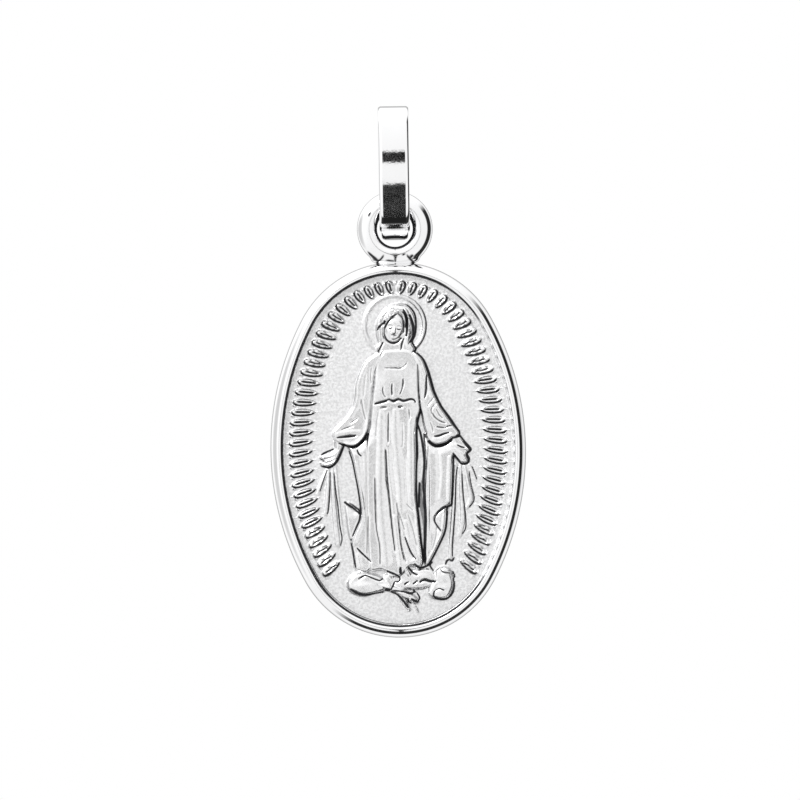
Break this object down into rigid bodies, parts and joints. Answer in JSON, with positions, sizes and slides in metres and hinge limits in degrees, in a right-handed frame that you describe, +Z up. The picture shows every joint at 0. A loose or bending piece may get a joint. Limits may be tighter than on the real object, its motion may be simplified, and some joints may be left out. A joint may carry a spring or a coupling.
{
  "type": "oval medal pendant",
  "caption": "Oval struck silver medal with a rimmed field and a raised robed figure, hung by a soldered ring from a polished strip bail.",
  "frame": {"origin": "inside top of the bail's loop, where the chain bears", "axes": "+Z up as it hangs, -Y the face of the medal, X across it and along the chain's way through the bail"},
  "size_m": [0.012, 0.0026, 0.0249],
  "materials": {
    "medal_silver": "struck silver, polished rim and relief on a satin field",
    "bail_silver": "mirror-polished silver"
  },
  "bodies": {
    "bail": {"bail": "bail_silver"},
    "medal": {"medal": "medal_silver"}
  },
  "joints": [
    {"name": "medal_swing", "type": "hinge", "parent": "bail", "child": "medal", "pos_m": [0, 0, -0.00402], "axis": [1, 0, 0], "range_deg": [-90, 90]}
  ]
}
